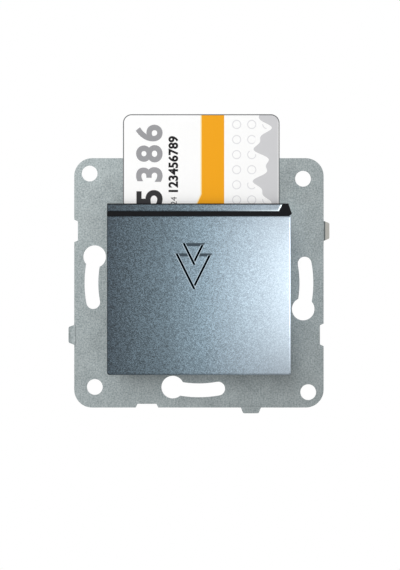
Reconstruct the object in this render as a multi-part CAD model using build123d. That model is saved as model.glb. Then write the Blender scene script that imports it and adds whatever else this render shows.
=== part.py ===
import math
import os

from build123d import *

os.makedirs("parts", exist_ok=True)

# The wall is the plane y = 0, the room is towards -Y, X is to the right and Z is up.
# The origin is the middle of the mounting plate on its wall side. Sizes are in millimetres.

# mounting plate, with its fixing circle outside the housing
fixing_margin = 7.0
plate_edge_margin = 4.8
plate_thickness = 1.2
plate_corner_radius = 5.0
keyhole_slot_width = 3.85
keyhole_head_diameter = 6.3
keyhole_head_angle = 14.1
keyhole_tail_angle = 10.3
corner_hole_diameter = 4.4
far_hole_inset = 4.3
near_hole_inset = 5.75
edge_key_offset = 14.5
notch_mouth_width = 6.3
notch_floor_width = 5.3
notch_depth = 1.03
tab_root_width = 5.6
tab_tip_width = 4.3
tab_reach = 1.6
tab_tip_radius = 0.5
tab_step = 0.35
tab_overlap = 0.3
plate_window_radius = 2.0

# key card
card_width = 43.6
card_height = 68.95
card_thickness = 0.76
card_corner_radius = 2.4
card_middle_x = 0.65

# front cover, beside the card and round the housing's collar
cover_side_margin = 3.8
cover_above_collar = 3.02
cover_below_collar = 6.85
mouth_band_height = 3.27
panel_thickness = 1.8
skirt_thickness = 1.6
skirt_gap = 0.3
cover_corner_radius = 0.7
cover_edge_radius = 0.5
panel_top_chamfer = 0.25

# engraved double arrow
arrow_middle_x = -1.42
arrow_below_top = 7.5
arrow_depth = 0.3
arrow_bar_width = 0.85
arrow_side_width = 0.5
small_arrow_half_width = 3.07
small_arrow_height = 6.0
large_arrow_half_width = 5.06
large_arrow_height = 9.95
large_arrow_drop = 2.85

# slot liner and silver lip
slot_lip_height = 1.9
slot_lip_thickness = 0.6
slot_lip_top_inset = 2.4
slot_lip_bottom_inset = 3.35
slot_lip_edge_radius = 0.3
peg_diameter = 1.0
peg_length = 0.7
peg_inset = 7.6
peg_end_gap = 0.175
liner_rim_height = 0.28
liner_corner_inset = 0.7
liner_corner_reach = 0.3
liner_corner_rise = 0.7
liner_mouth_chamfer = 0.5
liner_leg_length = 5.0

# card pocket
card_front_gap = 0.4
card_back_gap = 0.5
card_side_gap = 0.35
card_foot_clearance = 0.4
tray_thickness = 1.4
tray_floor_thickness = 1.45
tray_play = 0.2
tray_top_gap = 1.7
tray_rib_thickness = 1.2
barb_reach = 0.4
barb_width = 4.0
barb_depth = 1.4
barb_height_z = 11.0
barb_back = 4.0
hook_width = 6.0
hook_thickness = 1.2
hook_height_z = 15.0
hook_nose = 0.9
hook_nose_depth = 1.1

# leaf spring behind the card
leaf_width = 5.0
leaf_thickness = 0.2
leaf_inset = 8.65
leaf_below_top = 6.0
leaf_window_height = 18.0
leaf_tab_length = 2.3
leaf_card_gap = 0.25

# card plunger, from its foot upwards
plunger_travel = 3.0
plunger_width = 12.0
plunger_thickness = 2.4
plunger_foot_width = 10.0
plunger_foot_height = 1.4
plunger_foot_front_gap = 0.3
plunger_base_height = 4.6
plunger_window_width = 5.2
plunger_top_margin = 0.4
plunger_play = 0.3
finger_diameter = 2.0
finger_past_lever = 1.2
finger_play = 0.4

# plunger spring
spring_wire = 0.3
spring_outer_diameter = 2.4
spring_length = 8.0
spring_curls = 8
arcs_per_curl = 4
spring_lug_height = 1.5
spring_lug_width = 3.6
spring_peg_diameter = 1.2
spring_peg_length = 1.0
spring_seat_gap = 0.05

# insulating housing behind the plate
housing_wall = 1.5
housing_chamfer = 6.0
flange_thickness = 3.0
flange_ledge = 4.0
collar_height = 3.5
collar_play = 0.2
collar_gap = 1.94
seam_lip_height = 1.5
seam_lip_length = 26.0
seam_lip_play = 0.2
seam_lip_wall = 1.2
column_inset = 3.2
column_diameter = 4.8
rib_width = 2.0
rib_height_z = 8.0
rib_reach = 1.9

# fasteners
plate_screw_margin = 2.2
plate_screw_z = 8.0
plate_screw_diameter = 2.0
plate_screw_head_diameter = 3.8
plate_screw_head_height = 1.1
plate_screw_grip = 2.4
housing_screw_diameter = 2.2
housing_screw_head_diameter = 4.0
housing_screw_head_height = 1.6
housing_screw_sink = 3.0
housing_screw_grip = 2.0
screw_recess_depth = 0.7
screw_recess_width = 0.6
screw_hole_play = 0.2

# circuit board, as wide and high as its rows of parts need
board_thickness = 1.6
board_stand_off = 5.2
board_gap = 0.5
board_column_gap = 0.6

# microswitch
switch_length = 12.8
switch_height = 6.5
switch_depth = 5.8
switch_left_x = -9.4
pivot_inset = 1.0
pivot_pin_diameter = 0.8
pivot_running_gap = 0.05
eye_diameter = 1.5
lever_thickness = 0.3
lever_width = 3.4
lever_overhang = 0.3
lever_finger_gap = 0.25
case_drop = 1.15
ear_thickness = 1.0
button_diameter = 1.2
button_inset = 5.0
button_gap = 0.15
button_depth = 2.6
button_play = 0.05
leg_width = 0.8
leg_thickness = 0.5
leg_spacing = 5.0
leg_drop = 0.9

# terminals, between the two lower columns
terminal_count = 4
terminal_side_gap = 0.5
cage_width = 5.6
cage_height = 6.0
cage_depth = 9.4
cage_floor = 1.6
cage_gap = 0.3
wire_hole_width = 3.6
terminal_screw_diameter = 2.9
terminal_head_diameter = 3.9
terminal_head_height = 1.7
terminal_head_play = 0.2
contact_width = 3.0
contact_thickness = 0.6
contact_proud = 0.6
divider_thickness = 1.2

# tall parts on the circuit board
part_stand_off = 0.3
relay_length = 19.0
relay_height = 15.2
relay_depth = 14.6
relay_left_gap = 6.0
relay_top_gap = 3.3
relay_back_gap = 0.8
film_width = 6.0
film_length = 18.0
film_depth = 11.0
film_left_gap = 2.0
film_right_gap = 9.0
film_top_gap = 4.0
can_diameter = 8.0
can_length = 11.5
can_rim = 0.4
can_groove_offset = 1.2
can_top_gap = 2.5
cage_top_gap = 3.7

# low parts on the circuit board
lead_diameter = 0.6
lead_reach = 1.6
fuse_diameter = 3.2
fuse_length = 9.0
fuse_inset = 1.4
fuse_top_gap = 2.9
varistor_diameter = 7.0
varistor_thickness = 3.8
varistor_foot_gap = 2.7
bridge_length = 6.4
bridge_width = 4.6
bridge_depth = 2.6
bridge_foot_gap = 2.1
chip_length = 4.9
chip_width = 3.9
chip_depth = 1.5
chip_foot_gap = 1.45
chip_leg_reach = 1.0
chip_leg_width = 0.4
chip_leg_rise = 0.375
chip_leg_pitch = 1.27
chip_leg_count = 4
resistor_length = 2.0
resistor_width = 1.25
resistor_depth = 0.6
resistor_pitch = 1.5
resistor_count = 6
resistor_side_gap = 0.375
resistor_top_gap = 1.8
diode_diameter = 2.0
diode_length = 4.2
diode_top_gap = 0.2
diode_pitch = 4.0
diode_count = 2
row_gap_shares = [0.30, 0.20, 0.15, 0.10, 0.06, 0.19]

# locator lamp and its light guide
lamp_inset = 9.0
lamp_diameter = 3.0
lamp_length = 4.6
lamp_flange_diameter = 3.8
lamp_flange_height = 1.0
guide_width = 6.0
guide_thickness = 2.0
guide_play = 0.1
guide_lamp_gap = 0.3
guide_top_gap = 0.3
guide_foot = 1.6

overrun = 1.0

# the board, the housing round it and the plate round the housing
board_width = relay_left_gap + relay_length + film_left_gap + film_width + film_right_gap
board_height = (film_top_gap + film_length + can_top_gap + can_diameter + cage_top_gap
                + cage_height + cage_gap - board_gap)
board_half_x = board_width / 2
board_half_z = board_height / 2
inside_half_x = board_half_x + board_gap
inside_half_z = board_half_z + board_gap
housing_half_x = inside_half_x + housing_wall
housing_half_z = inside_half_z + housing_wall
column_x = inside_half_x - column_inset
column_z = inside_half_z - column_inset
window_half_x = housing_half_x - flange_ledge
window_half_z = housing_half_z - flange_ledge
collar_half_x = window_half_x - collar_play
collar_half_z = window_half_z - collar_play
hollow_half_x = collar_half_x - housing_wall
hollow_half_z = collar_half_z - housing_wall
plate_screw_x = window_half_x + plate_screw_margin
fixing_circle = 2 * (housing_half_x + fixing_margin)
plate_width = fixing_circle + 2 * plate_edge_margin

# places from the plate forwards
cover_back_y = -(plate_thickness + skirt_gap)
collar_face_y = -collar_height
plunger_back_y = collar_face_y - collar_gap
plunger_front_y = plunger_back_y - plunger_thickness
spring_middle_y = plunger_front_y + plunger_thickness / 2
tray_back_y = plunger_front_y - plunger_play
guide_front_y = tray_back_y + plunger_play
tray_face_y = tray_back_y - tray_thickness
card_back_y = tray_face_y - card_back_gap
card_front_y = card_back_y - card_thickness
panel_back_y = card_front_y - card_front_gap
panel_face_y = panel_back_y - panel_thickness
liner_face_y = panel_face_y + slot_lip_thickness

# places from the plate backwards
board_front_y = flange_thickness + board_stand_off
board_back_y = board_front_y + board_thickness
part_seat_y = board_back_y + part_stand_off
rear_inside_y = part_seat_y + relay_depth + relay_back_gap
housing_depth = rear_inside_y + housing_wall
switch_front_y = board_front_y - switch_depth
switch_middle_y = board_front_y - switch_depth / 2
finger_end_y = switch_middle_y + finger_past_lever
cage_back_y = rear_inside_y - cage_gap
cage_front_y = cage_back_y - cage_depth
wire_hole_y = cage_front_y + cage_floor + wire_hole_width / 2

# places across the cover
cover_width = card_width + 2 * cover_side_margin
cover_half = cover_width / 2
cavity_half = cover_half - skirt_thickness
tray_half = cavity_half - tray_play
pocket_left_x = card_middle_x - card_width / 2 - card_side_gap
pocket_right_x = card_middle_x + card_width / 2 + card_side_gap
leaf_middle_x = card_middle_x - card_width / 2 + leaf_inset

# heights of the cover and of what stands in it
cover_top_z = collar_half_z + cover_above_collar
cover_bottom_z = -(collar_half_z + cover_below_collar)
panel_top_z = cover_top_z - mouth_band_height
slot_lip_bottom_z = cover_top_z - slot_lip_height
liner_top_z = cover_top_z + liner_rim_height
cavity_bottom_z = cover_bottom_z + skirt_thickness
tray_bottom_z = cavity_bottom_z + tray_play
tray_floor_z = tray_bottom_z + tray_floor_thickness
tray_top_z = panel_top_z - tray_top_gap
leaf_top_z = tray_top_z - leaf_below_top
leaf_bottom_z = leaf_top_z - leaf_window_height
card_bottom_z = tray_floor_z + card_foot_clearance
card_top_z = card_bottom_z + card_height
foot_window_top_z = card_bottom_z + plunger_travel + plunger_play
foot_bottom_z = card_bottom_z - plunger_foot_height
window_bottom_z = foot_bottom_z + plunger_base_height
spring_seat_z = window_bottom_z + plunger_play + plunger_travel + spring_lug_height
window_top_z = spring_seat_z + spring_length
finger_z = window_top_z + finger_play + finger_diameter / 2
plunger_top_z = finger_z + finger_diameter / 2 + plunger_top_margin

# places of the microswitch under the finger
pivot_x = switch_left_x + pivot_inset
lever_top_z = finger_z - finger_diameter / 2 - lever_finger_gap
pivot_z = lever_top_z - eye_diameter / 2
button_top_z = lever_top_z - lever_thickness - button_gap
case_top_z = lever_top_z - case_drop
case_bottom_z = case_top_z - switch_height
leg_bottom_z = case_bottom_z - leg_drop
leg_top_z = leg_bottom_z + leg_thickness

# places of the terminals and of the parts on the board
cage_bottom_z = -(inside_half_z - cage_gap)
cage_middle_z = cage_bottom_z + cage_height / 2
cage_top_z = cage_bottom_z + cage_height
terminal_room = 2 * (column_x - column_diameter / 2 - terminal_side_gap)
terminal_pitch = (terminal_room - cage_width) / (terminal_count - 1)
relay_left_x = relay_left_gap - board_half_x
relay_right_x = relay_left_x + relay_length
relay_bottom_z = board_half_z - relay_top_gap - relay_height
film_left_x = relay_right_x + film_left_gap
film_bottom_z = board_half_z - film_top_gap - film_length
can_z = film_bottom_z - can_top_gap - can_diameter / 2
fuse_x = relay_left_x + fuse_inset + lead_reach + fuse_length / 2
fuse_z = relay_bottom_z - fuse_top_gap - fuse_diameter / 2
varistor_z = cage_top_z + varistor_foot_gap + varistor_diameter / 2
bridge_z = leg_top_z + bridge_foot_gap + bridge_width / 2
chip_z = leg_top_z + chip_foot_gap + chip_leg_reach + chip_width / 2
resistor_x = fuse_x + fuse_length / 2 + lead_reach + resistor_side_gap + resistor_width / 2
resistor_z = film_bottom_z - resistor_top_gap - resistor_length / 2
diode_z = resistor_z - resistor_length / 2 - diode_top_gap - diode_diameter / 2
lamp_x = board_half_x - lamp_inset
lamp_z = board_half_z - lamp_inset

# the lower row of parts shares out the board's width
row_widths = [
    varistor_thickness, bridge_length, chip_length, diode_length + 2 * lead_reach, can_diameter
]
row_free = board_width - sum(row_widths)
row_places = []
row_edge = -board_half_x
for width, share in zip(row_widths, row_gap_shares):
    row_edge += share * row_free
    row_places.append(row_edge + width / 2)
    row_edge += width
varistor_x, bridge_x, chip_x, diode_x, can_x = row_places


def block(left, right, front, back, bottom, top):
    """A box between two values on each axis."""
    size = Box(right - left, back - front, top - bottom)
    return Pos((left + right) / 2, (front + back) / 2, (bottom + top) / 2) * size


def rod_y(radius, front, back, x, z):
    """A round bar along Y."""
    return Pos(x, (front + back) / 2, z) * Rot(90, 0, 0) * Cylinder(radius, back - front)


def rod_x(radius, left, right, y, z):
    """A round bar along X."""
    return Pos((left + right) / 2, y, z) * Rot(0, 90, 0) * Cylinder(radius, right - left)


def rod_z(radius, bottom, top, x, y):
    """A round bar along Z."""
    return Pos(x, y, (bottom + top) / 2) * Cylinder(radius, top - bottom)


def facing(outline, front, back):
    """An outline drawn in X and Z, made solid between two values of y."""
    return extrude(Plane.XZ.offset(-back) * outline, amount=back - front, dir=(0, -1, 0))


def sideways(outline, left, right):
    """An outline drawn in Y and Z, made solid between two values of x."""
    return extrude(Plane.YZ.offset(left) * outline, amount=right - left, dir=(1, 0, 0))


def both_sides(x, z):
    """The four places at plus and minus x and z."""
    return [(side * x, level * z) for side in (-1, 1) for level in (-1, 1)]


def turned(shape, quarter):
    """A shape turned about Y by quarters of a turn, as the plate's edges repeat."""
    return Rot(0, -90 * quarter, 0) * shape


def keyhole():
    """One curved slot on the fixing circle with its round head at the clockwise end."""
    radius = fixing_circle / 2
    slot = SlotArc(
        CenterArc((0, 0), radius, -keyhole_head_angle, keyhole_head_angle + keyhole_tail_angle),
        keyhole_slot_width,
    )
    angle = math.radians(keyhole_head_angle)
    head = Pos(radius * math.cos(angle), -radius * math.sin(angle)) * Circle(keyhole_head_diameter / 2)
    return facing(slot + head, -(plate_thickness + overrun), overrun)


def edge_notch():
    """The tapered notch in the right edge that takes the tab of the plate beside it."""
    edge = plate_width / 2
    mouth = notch_mouth_width / 2
    floor = notch_floor_width / 2
    outline = Polygon(
        (edge + overrun, mouth),
        (edge, mouth),
        (edge - notch_depth, floor),
        (edge - notch_depth, -floor),
        (edge, -mouth),
        (edge + overrun, -mouth),
        align=None,
    )
    return Pos(0, 0, -edge_key_offset) * facing(outline, -(plate_thickness + overrun), overrun)


def edge_tab():
    """The tapered tab on the right edge, stepped forwards a little at its root."""
    edge = plate_width / 2
    root = tab_root_width / 2
    tip = tab_tip_width / 2
    outline = Polygon(
        (edge - tab_overlap, root),
        (edge, root),
        (edge + tab_reach, tip),
        (edge + tab_reach, -tip),
        (edge, -root),
        (edge - tab_overlap, -root),
        align=None,
    )
    outline = fillet(outline.vertices().group_by(Axis.X)[-1], tab_tip_radius)
    return Pos(0, 0, edge_key_offset) * facing(outline, -(plate_thickness + tab_step), -tab_step)


def make_mounting_plate():
    """The stamped steel plate with its window, keyholes, corner holes, notches and tabs."""
    outline = RectangleRounded(plate_width, plate_width, plate_corner_radius)
    window = RectangleRounded(2 * window_half_x, 2 * window_half_z, plate_window_radius)
    plate = facing(outline - window, -plate_thickness, 0)
    for quarter in range(4):
        plate -= turned(keyhole(), quarter)
        plate -= turned(edge_notch(), quarter)
        plate += turned(edge_tab(), quarter)
    far = plate_width / 2 - far_hole_inset
    near = plate_width / 2 - near_hole_inset
    corner_holes = [(-far, far), (far, -far), (near, near), (-near, -near)]
    for x, z in corner_holes:
        plate -= rod_y(corner_hole_diameter / 2, -(plate_thickness + overrun), overrun, x, z)
    for x, z in both_sides(plate_screw_x, plate_screw_z):
        hole = plate_screw_diameter / 2 + screw_hole_play
        plate -= rod_y(hole, -(plate_thickness + overrun), overrun, x, z)
    return plate


def screw(x, z, head_y, tip_y, diameter, head_diameter, head_height):
    """A cross-headed screw along Y, its head on the head_y side and its tip at tip_y."""
    towards = 1 if tip_y > head_y else -1
    seat_y = head_y + towards * head_height
    head = rod_y(head_diameter / 2, min(head_y, seat_y), max(head_y, seat_y), x, z)
    shank = rod_y(diameter / 2, min(seat_y, tip_y), max(seat_y, tip_y), x, z)
    recess_y = head_y + towards * screw_recess_depth
    reach = head_diameter / 2 - screw_recess_width
    half = screw_recess_width / 2
    front, back = min(head_y, recess_y), max(head_y, recess_y)
    across = block(x - reach, x + reach, front, back, z - half, z + half)
    along = block(x - half, x + half, front, back, z - reach, z + reach)
    return head + shank - across - along


def make_plate_screws():
    """Four small screws that hold the steel plate to the front of the housing."""
    head_y = -(plate_thickness + plate_screw_head_height)
    return Compound(
        children=[
            screw(x, z, head_y, plate_screw_grip, plate_screw_diameter,
                  plate_screw_head_diameter, plate_screw_head_height)
            for x, z in both_sides(plate_screw_x, plate_screw_z)
        ]
    )


def make_housing_screws():
    """Four long screws in the corners, put in from the back of the housing."""
    head_y = housing_depth - housing_screw_sink + housing_screw_head_height
    return Compound(
        children=[
            screw(x, z, head_y, flange_thickness - housing_screw_grip, housing_screw_diameter,
                  housing_screw_head_diameter, housing_screw_head_height)
            for x, z in both_sides(column_x, column_z)
        ]
    )


def triangle(half_width, top, height):
    """A triangle that points down, centred on the arrow's line."""
    return Polygon(
        (arrow_middle_x - half_width, top),
        (arrow_middle_x + half_width, top),
        (arrow_middle_x, top - height),
        align=None,
    )


def triangle_outline(half_width, top, height):
    """The groove round a triangle, with a wider bar along its top."""
    lean = math.atan2(half_width, height)
    inner_height = height - arrow_bar_width - arrow_side_width / math.sin(lean)
    inner_half = inner_height * math.tan(lean)
    return triangle(half_width, top, height) - triangle(inner_half, top - arrow_bar_width, inner_height)


def arrow_grooves():
    """The engraved double arrow that shows which way the card goes in."""
    small_top = panel_top_z - arrow_below_top
    small = (small_arrow_half_width, small_top, small_arrow_height)
    large = (large_arrow_half_width, small_top - large_arrow_drop, large_arrow_height)
    outline = (triangle_outline(*large) - triangle(*small)) + triangle_outline(*small)
    return facing(outline, panel_face_y - overrun, panel_face_y + arrow_depth)


def corner_offcut():
    """The shell's corner beside the slanted end of the mouthpiece, where it stands open."""
    return Polygon(
        (cover_half - liner_corner_inset, liner_top_z),
        (cover_half + liner_corner_reach, panel_top_z + liner_corner_rise),
        (cover_half + liner_corner_inset, liner_top_z),
        align=None,
    )


def make_front_cover():
    """The silver shell: front panel, skirts, and the short top wall behind the card mouth."""
    outline = Pos(0, (cover_bottom_z + cover_top_z) / 2) * RectangleRounded(
        cover_width, cover_top_z - cover_bottom_z, cover_corner_radius
    )
    shell = facing(outline, panel_face_y, cover_back_y)
    front_edges = shell.edges().group_by(Axis.Y)[0]
    shell = fillet(front_edges, cover_edge_radius)
    shell -= block(-cavity_half, cavity_half, panel_back_y, overrun,
                   cavity_bottom_z, cover_top_z - skirt_thickness)
    shell -= block(-cover_width, cover_width, panel_face_y - overrun, tray_back_y + guide_play,
                   panel_top_z, cover_top_z + overrun)
    shell -= facing(corner_offcut(), panel_face_y, overrun)
    half = guide_width / 2 + guide_play
    shell -= block(lamp_x - half, lamp_x + half, tray_back_y, guide_front_y + guide_thickness + guide_play,
                   cavity_bottom_z, cover_top_z + overrun)
    for x, z in both_sides(cavity_half, barb_height_z):
        reach = barb_reach + tray_play
        depth = barb_depth / 2 + tray_play
        wide = barb_width / 2 + tray_play
        shell -= block(x - reach, x + reach, -barb_back - depth, -barb_back + depth, z - wide, z + wide)
    for x, z in both_sides(plate_screw_x, plate_screw_z):
        shell -= rod_y(plate_screw_head_diameter / 2 + screw_hole_play,
                       -(plate_thickness + plate_screw_head_height + skirt_gap), overrun, x, z)
    top_edge = shell.edges().filter_by(Axis.X).filter_by_position(
        Axis.Y, panel_face_y - cover_edge_radius / 2, panel_face_y + cover_edge_radius / 2
    ).sort_by(Axis.Z)[-1]
    shell = chamfer(top_edge, panel_top_chamfer)
    return shell - arrow_grooves()


def liner_outline():
    """The front view of the black mouthpiece, with its corner standing out at the right."""
    return Polygon(
        (-cover_half, panel_top_z),
        (-cover_half, liner_top_z),
        (cover_half - liner_corner_inset, liner_top_z),
        (cover_half + liner_corner_reach, panel_top_z + liner_corner_rise),
        (cover_half - cover_edge_radius, panel_top_z),
        align=None,
    )


def lip_pegs(length):
    """The pegs behind the silver lip, or the holes that take them."""
    height = cover_top_z - slot_lip_height / 2
    spacing = cover_half - peg_inset
    return [
        rod_y(peg_diameter / 2, liner_face_y, liner_face_y + length, place * spacing, height)
        for place in (-1, 0, 1)
    ]


def make_slot_liner():
    """The black mouthpiece round the card: band, corner, channel and two legs."""
    liner = facing(liner_outline(), liner_face_y, tray_back_y)
    channel = block(pocket_left_x, pocket_right_x, panel_back_y, tray_face_y,
                    panel_top_z - overrun, liner_top_z + overrun)
    liner -= channel
    near = liner_mouth_chamfer / 2
    mouth = liner.edges().filter_by(Axis.X).filter_by_position(Axis.Z, liner_top_z - near, liner_top_z + near)
    inner = mouth.filter_by_position(Axis.Y, panel_back_y - near, tray_face_y + near)
    liner = chamfer(inner, liner_mouth_chamfer)
    leg_bottom = panel_top_z - liner_leg_length
    for left, right in ((-tray_half, pocket_left_x), (pocket_right_x, tray_half)):
        liner += block(left, right, panel_back_y, tray_face_y, leg_bottom, panel_top_z + overrun)
    for peg in lip_pegs(peg_length + peg_end_gap):
        liner -= peg
    return liner


def make_slot_lip():
    """The silver strip on the front of the mouthpiece, slanted at its right end."""
    outline = Polygon(
        (-cover_half, slot_lip_bottom_z),
        (-cover_half, cover_top_z),
        (cover_half - slot_lip_top_inset, cover_top_z),
        (cover_half - slot_lip_bottom_inset, slot_lip_bottom_z),
        align=None,
    )
    strip = facing(outline, panel_face_y, liner_face_y)
    strip = fillet(strip.edges().group_by(Axis.Y)[0], slot_lip_edge_radius)
    for peg in lip_pegs(peg_length):
        strip += peg
    return strip


def make_card_tray():
    """The black tray behind the card, with its rails, floor, hooks and plunger guides."""
    rail_top = panel_top_z - liner_leg_length
    tray = block(-tray_half, tray_half, tray_face_y, tray_back_y, tray_bottom_z, tray_top_z)
    tray += block(-tray_half, pocket_left_x, panel_back_y, tray_face_y, tray_bottom_z, rail_top)
    tray += block(pocket_right_x, tray_half, panel_back_y, tray_face_y, tray_bottom_z, rail_top)
    tray += block(-tray_half, tray_half, panel_back_y, tray_face_y, tray_bottom_z, tray_floor_z)
    foot_half = plunger_foot_width / 2 + plunger_play
    tray -= block(-foot_half, foot_half, panel_back_y - overrun, tray_back_y + overrun,
                  tray_bottom_z - overrun, foot_window_top_z)
    tray += plunger_guides()
    tray += spring_seat()
    tray += cover_barbs()
    for x, z in both_sides(collar_half_x + collar_play / 2, hook_height_z):
        tray += collar_hook(x, z)
    leaf_half = leaf_width / 2 + tray_play
    tray -= block(leaf_middle_x - leaf_half, leaf_middle_x + leaf_half, tray_face_y - overrun,
                  tray_back_y + overrun, leaf_bottom_z, leaf_top_z)
    return tray


def plunger_guides():
    """Two ribs with inward lips that the plunger's edges run in."""
    inner = plunger_width / 2 + plunger_play
    lip_front = plunger_back_y + plunger_play
    guide_back = lip_front + tray_rib_thickness
    ribs = []
    for side in (-1, 1):
        wall = sorted((side * inner, side * (inner + tray_rib_thickness)))
        lip = sorted((side * (inner - tray_rib_thickness), side * (inner + tray_rib_thickness)))
        ribs.append(block(*wall, tray_back_y, guide_back, foot_window_top_z, plunger_top_z))
        ribs.append(block(*lip, lip_front, guide_back, foot_window_top_z, plunger_top_z))
    return ribs


def spring_seat():
    """The lug that reaches through the plunger's window and carries the spring on a peg."""
    half = spring_lug_width / 2
    lug = block(-half, half, tray_back_y, plunger_back_y, spring_seat_z - spring_lug_height, spring_seat_z)
    peg = rod_z(spring_peg_diameter / 2, spring_seat_z, spring_seat_z + spring_peg_length, 0, spring_middle_y)
    return lug + peg


def cover_barbs():
    """Four small barbs on the sides that snap into the cover's skirts, each on a short wall."""
    barbs = []
    for side in (-1, 1):
        wall = sorted((side * (tray_half - tray_rib_thickness), side * tray_half))
        nose = sorted((side * (tray_half - tray_rib_thickness), side * (cavity_half + barb_reach)))
        for level in (-1, 1):
            bottom = level * barb_height_z - barb_width / 2
            top = level * barb_height_z + barb_width / 2
            barbs.append(block(*wall, tray_back_y, -barb_back + barb_depth / 2, bottom, top))
            barbs.append(block(*nose, -barb_back - barb_depth / 2, -barb_back + barb_depth / 2, bottom, top))
    return barbs


def collar_hook(x, z):
    """One hook that reaches back and snaps under the rim of the housing's collar."""
    side = 1 if x > 0 else -1
    half = hook_width / 2
    arm = sorted((x, x + side * hook_thickness))
    nose = sorted((x - side * hook_nose, x))
    stem = block(*arm, tray_back_y, cover_back_y, z - half, z + half)
    catch = block(*nose, cover_back_y - hook_nose_depth, cover_back_y, z - half, z + half)
    return stem + catch


def make_card_leaf_spring():
    """A bowed steel strip that stands through the tray's window and steadies the card."""
    back = tray_back_y + leaf_thickness
    apex = card_back_y + leaf_card_gap
    low = leaf_bottom_z + tray_play
    high = leaf_top_z - tray_play
    middle = (low + high) / 2
    bottom = low - leaf_tab_length
    top = high + leaf_tab_length
    edges = [
        Line((back, bottom), (tray_back_y, bottom)),
        Line((tray_back_y, bottom), (tray_back_y, low)),
        ThreePointArc((tray_back_y, low), (apex, middle), (tray_back_y, high)),
        Line((tray_back_y, high), (tray_back_y, top)),
        Line((tray_back_y, top), (back, top)),
        Line((back, top), (back, high)),
        ThreePointArc((back, high), (apex + leaf_thickness, middle), (back, low)),
        Line((back, low), (back, bottom)),
    ]
    half = leaf_width / 2
    return sideways(make_face(edges), leaf_middle_x - half, leaf_middle_x + half)


def make_key_card():
    """The plain card, standing on the plunger's foot."""
    outline = Pos(card_middle_x, (card_top_z + card_bottom_z) / 2) * RectangleRounded(
        card_width, card_height, card_corner_radius
    )
    return facing(outline, card_front_y, card_back_y)


def make_card_plunger():
    """The slide that the card pushes down: foot, window for the spring, and switch finger."""
    half = plunger_width / 2
    foot = plunger_foot_width / 2
    window = plunger_window_width / 2
    slide = block(-half, half, plunger_front_y, plunger_back_y, foot_bottom_z, plunger_top_z)
    slide -= block(-window, window, plunger_front_y - overrun, plunger_back_y + overrun,
                   window_bottom_z, window_top_z)
    slide += block(-foot, foot, panel_back_y + plunger_foot_front_gap, plunger_front_y,
                   foot_bottom_z, card_bottom_z)
    slide += rod_y(finger_diameter / 2, plunger_front_y, finger_end_y, 0, finger_z)
    return slide


def biarc(start, start_way, end, end_way):
    """Two arcs that join two points and keep the way that each is passed."""
    gap = end - start
    ways = start_way + end_way
    spread = 2 * (1 - start_way.dot(end_way))
    along = gap.dot(ways)
    reach = (math.sqrt(along * along + spread * gap.dot(gap)) - along) / spread
    joint = (start + end + (start_way - end_way) * reach) * 0.5
    joint_way = (joint - (start + start_way * reach)).normalized()
    return [
        Edge.make_tangent_arc(start, start_way, joint),
        Edge.make_tangent_arc(joint, joint_way, end),
    ]


def coil_point(turn, radius, pitch, base):
    """A point of the coil's centre line and the way that the wire runs there."""
    angle = math.tau * turn
    point = Vector(radius * math.cos(angle), spring_middle_y + radius * math.sin(angle), base + pitch * turn)
    way = Vector(-math.tau * radius * math.sin(angle), math.tau * radius * math.cos(angle), pitch)
    return point, way.normalized()


def make_plunger_spring():
    """The open coil spring under the plunger's bar, one unbroken wire."""
    radius = (spring_outer_diameter - spring_wire) / 2
    base = spring_seat_z + spring_seat_gap + spring_wire / 2
    rise = spring_length - 2 * spring_seat_gap - spring_wire
    pitch = rise / spring_curls
    path = []
    for step in range(spring_curls * arcs_per_curl):
        here = coil_point(step / arcs_per_curl, radius, pitch, base)
        there = coil_point((step + 1) / arcs_per_curl, radius, pitch, base)
        path += biarc(*here, *there)
    start, way = coil_point(0, radius, pitch, base)
    print("least gap between the spring's curls", round(pitch - spring_wire, 3))
    return sweep(Plane(origin=start, z_dir=way) * Circle(spring_wire / 2), path=Wire(path))


def housing_outline(half_x, half_z, cut):
    """A box's outline with its corners cut off, as the housing has to fit a round wall box."""
    return Polygon(
        (half_x, half_z - cut),
        (half_x - cut, half_z),
        (cut - half_x, half_z),
        (-half_x, half_z - cut),
        (-half_x, cut - half_z),
        (cut - half_x, -half_z),
        (half_x - cut, -half_z),
        (half_x, cut - half_z),
        align=None,
    )


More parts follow.
